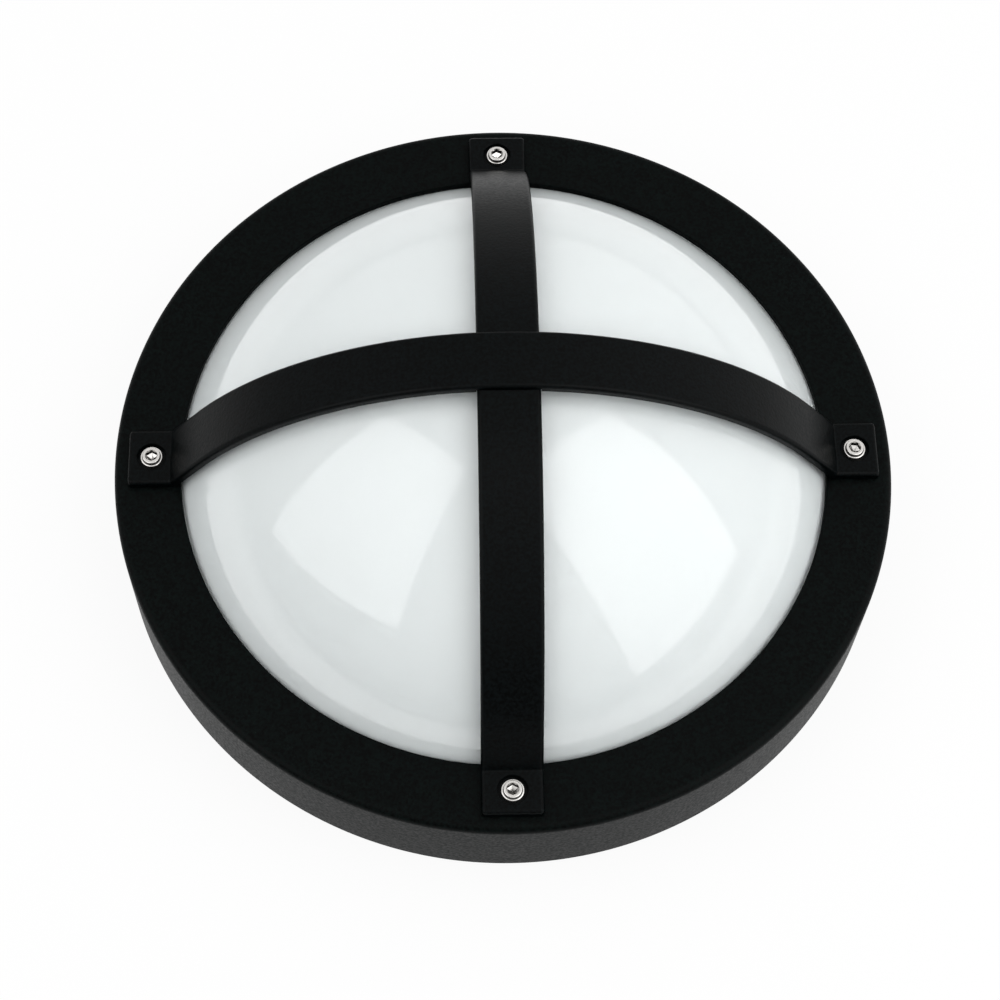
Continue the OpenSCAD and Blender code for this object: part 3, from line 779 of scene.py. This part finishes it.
# %% Opal dome
opal = moulded(
    "opal", dark=(0.745, 0.788, 0.79), light=(0.775, 0.818, 0.82), rough=(0.05, 0.08),
    grain=3.0, cloud=60.0, depth=0.002 * mm)
principled(opal).subsurface_method = "BURLEY"
tune(opal, {"IOR": 1.58, "Specular IOR Level": 0.8})
tune(opal, {"Subsurface Weight": 1.0, "Subsurface Radius": (1.0, 1.0, 1.0), "Subsurface Scale": 0.005})
dress(opal, "diffuser")

# %% [markdown]
# ## Rubber, plastic and wires
# The seal and the cable grommet are dull black rubber. The terminal block is a natural white nylon. The wires
# have a smooth vinyl skin in the usual colours.

# %% Rubber, plastic and wires
seal_rubber = moulded(
    "seal_rubber", dark=(0.012, 0.012, 0.012), light=(0.022, 0.022, 0.022), rough=(0.65, 0.85),
    grain=0.5, cloud=8.0, depth=0.04 * mm)
dress(seal_rubber, "diffuser_gasket", "cable_grommet")
terminal_plastic = moulded(
    "terminal_plastic", dark=(0.72, 0.71, 0.67), light=(0.80, 0.79, 0.75), rough=(0.35, 0.5),
    grain=0.4, cloud=12.0, depth=0.01 * mm)
dress(terminal_plastic, "terminal_block")

vinyl = {"rough": (0.28, 0.4), "grain": 0.6, "cloud": 6.0, "depth": 0.01 * mm}
wire_colours = {
    "live_wire": ("live_insulation", (0.10, 0.035, 0.015), (0.13, 0.045, 0.02)),
    "neutral_wire": ("neutral_insulation", (0.02, 0.07, 0.35), (0.03, 0.09, 0.42)),
    "led_lead_positive": ("red_insulation", (0.45, 0.02, 0.015), (0.55, 0.03, 0.02)),
    "led_lead_negative": ("black_insulation", (0.012, 0.012, 0.012), (0.02, 0.02, 0.02)),
}
for wire, (finish_name, dark, light) in wire_colours.items():
    dress(moulded(finish_name, dark, light, **vinyl), wire)

# %% [markdown]
# The earth wire carries a yellow stripe along its side. An image could hold it, but the wire lies level, so a
# band of heights around its middle is enough.

# %% Earth wire
stripe_yellow, stripe_half = (0.75, 0.55, 0.03), 0.5 * mm


def striped_insulation():
    finish = moulded("earth_insulation", (0.05, 0.25, 0.03), (0.07, 0.32, 0.04), **vinyl)
    tree = finish.node_tree
    green = principled(finish).inputs["Base Color"].links[0].from_socket
    where = place(tree, "ShaderNodeTexCoord").outputs["Object"]
    height = place(tree, "ShaderNodeSeparateXYZ", {0: where}).outputs["Z"]
    middle = sum(corner.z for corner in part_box("earth_wire")) / 2
    off_middle = math_node(tree, "ABSOLUTE", math_node(tree, "SUBTRACT", height, middle))
    stripe = math_node(tree, "LESS_THAN", off_middle, stripe_half)
    tune(finish, {"Base Color": blend_colours(tree, stripe, green, stripe_yellow)})
    return finish


dress(striped_insulation(), "earth_wire")

# %% [markdown]
# ## A shared effect: turned metal
# Screw heads are turned on a lathe, and the tool leaves fine rings around the screw's axis. All screws of one
# kind are one piece here, so the group folds the lamp's plan onto one eighth: the larger of |x| and |y| and
# the smaller one. In that folded plan the four screws fall on one point, and the distance from it gives the
# rings.

# %% Turned metal group
tool_pitch, scuff_scale = 0.35, 1400.0


def turned_metal():
    sizes = {"Out": mm * screw_circle, "Across": 0.0, "Pitch mm": tool_pitch}
    group, given, result = open_group("turned_metal", sizes, ["Height", "Streak"])
    where = place(group, "ShaderNodeTexCoord").outputs["Object"]
    parts = place(group, "ShaderNodeSeparateXYZ", {0: where})
    x = math_node(group, "ABSOLUTE", parts.outputs["X"])
    y = math_node(group, "ABSOLUTE", parts.outputs["Y"])
    u = math_node(group, "SUBTRACT", math_node(group, "MAXIMUM", x, y), given.outputs["Out"])
    v = math_node(group, "SUBTRACT", math_node(group, "MINIMUM", x, y), given.outputs["Across"])
    square = math_node(group, "ADD", math_node(group, "MULTIPLY", u, u), math_node(group, "MULTIPLY", v, v))
    angle = math_node(group, "MULTIPLY", math_node(group, "SQRT", square), math.tau * mm_in_a_metre)
    wave = math_node(group, "SINE", math_node(group, "DIVIDE", angle, given.outputs["Pitch mm"]))
    ring = place(group, "ShaderNodeMapRange", {"Value": wave, "From Min": -1.0}).outputs["Result"]
    inputs = {"Vector": where, "Scale": scuff_scale, "Detail": 3.0}
    scuff = place(group, "ShaderNodeTexNoise", inputs).outputs["Fac"]
    fill(group, result, {"Height": ring, "Streak": math_node(group, "MULTIPLY", ring, scuff)})
    return group


turned_metal_group = turned_metal()
print("group:", turned_metal_group.name)

# %% [markdown]
# ## Screws and lug
# The four cover screws are bright stainless steel with a hexagon socket. The socket's walls and the rim step
# carry a near-black finish as painted shade. The screws inside are zinc plated, a little duller and bluer.
# The clamp and earth screws are brass, and the earth lug is tinned copper. Each finish says where its screws
# lie in the folded plan.

# %% Cover screw finishes
tool_mark = 0.004 * mm


def turned(name, dark, light, rough, out, across):
    sizes = {"Out": out, "Across": across, "Pitch mm": tool_pitch}
    masks = ("Streak", "Streak")
    finish = textured(name, turned_metal_group, sizes, masks, dark, light, rough, tool_mark)
    tune(finish, {"Metallic": 1.0})
    return finish


cover_place = {"out": mm * screw_circle, "across": 0.0}
stainless = turned("stainless", (0.80, 0.78, 0.75), (0.88, 0.86, 0.83), (0.2, 0.34), **cover_place)
dress(stainless, "cover_screw_set")
# painted shade: near-black metal on the socket walls and rim step stands in for the shade in these hollows
socket_painted_shade = turned("socket_painted_shade", (0.012, 0.011, 0.01), (0.03, 0.027, 0.025), (0.45, 0.65), **cover_place)
bpy.data.objects["cover_screw_set"].data.materials.append(socket_painted_shade)
print(socket_painted_shade.name, "on the socket walls and the rim step")

# %% Inner screws and lug
zinc = {"dark": (0.50, 0.51, 0.53), "light": (0.62, 0.63, 0.65), "rough": (0.25, 0.4)}
brass = {"dark": (0.60, 0.42, 0.16), "light": (0.70, 0.50, 0.20), "rough": (0.22, 0.36)}
tin = {"dark": (0.66, 0.63, 0.58), "light": (0.76, 0.74, 0.70), "rough": (0.25, 0.42)}
zinc_places = {
    "tray_screws": (0.06293, 0.06293),
    "board_screws": (0.073, 0.0),
    "driver_screws": (0.0565, 0.032),
    "terminal_fixing_screw": (0.036, 0.030),
}
for screws, (out, across) in zinc_places.items():
    dress(turned("zinc_steel_" + screws, out=out, across=across, **zinc), screws)
dress(turned("brass_earth_screw", out=0.064, across=0.004, **brass), "earth_screw")
dress(turned("brass_clamp_screws", out=0.041, across=0.030, **brass), "terminal_clamp_screws")
dress(turned("tinned_copper", out=0.064, across=0.004, **tin), "earth_lug")

# %% [markdown]
# ## The light board
# The board is a round plate under white solder resist. Its copper tracks show as faint raised rings that join
# the light sources, and they are the only bump on it. Each source is a small block of yellow phosphor.

# %% Light board and sources
track_circles, track_half, track_rise = (0.022, 0.046), 0.0025, 0.04 * mm


def solder_resist():
    finish = moulded(
        "board_white", dark=(0.80, 0.80, 0.78), light=(0.85, 0.85, 0.83), rough=(0.28, 0.36),
        grain=0.5, cloud=15.0)
    tree = finish.node_tree
    where = place(tree, "ShaderNodeTexCoord").outputs["Object"]
    parts = place(tree, "ShaderNodeSeparateXYZ", {0: where})
    plan = {"X": parts.outputs["X"], "Y": parts.outputs["Y"]}
    flat = place(tree, "ShaderNodeCombineXYZ", plan).outputs[0]
    out = place(tree, "ShaderNodeVectorMath", {0: flat}, operation="LENGTH").outputs["Value"]
    tracks = []
    for circle in track_circles:
        off = math_node(tree, "ABSOLUTE", math_node(tree, "SUBTRACT", out, circle))
        tracks.append(math_node(tree, "LESS_THAN", off, track_half))
    lift(finish, math_node(tree, "MAXIMUM", *tracks), track_rise)
    return finish


dress(solder_resist(), "led_board")
light_source = moulded(
    "light_source", dark=(0.75, 0.55, 0.12), light=(0.82, 0.64, 0.18), rough=(0.35, 0.5),
    grain=0.3, cloud=2.0, depth=0.01 * mm)
dress(light_source, "led_chips")
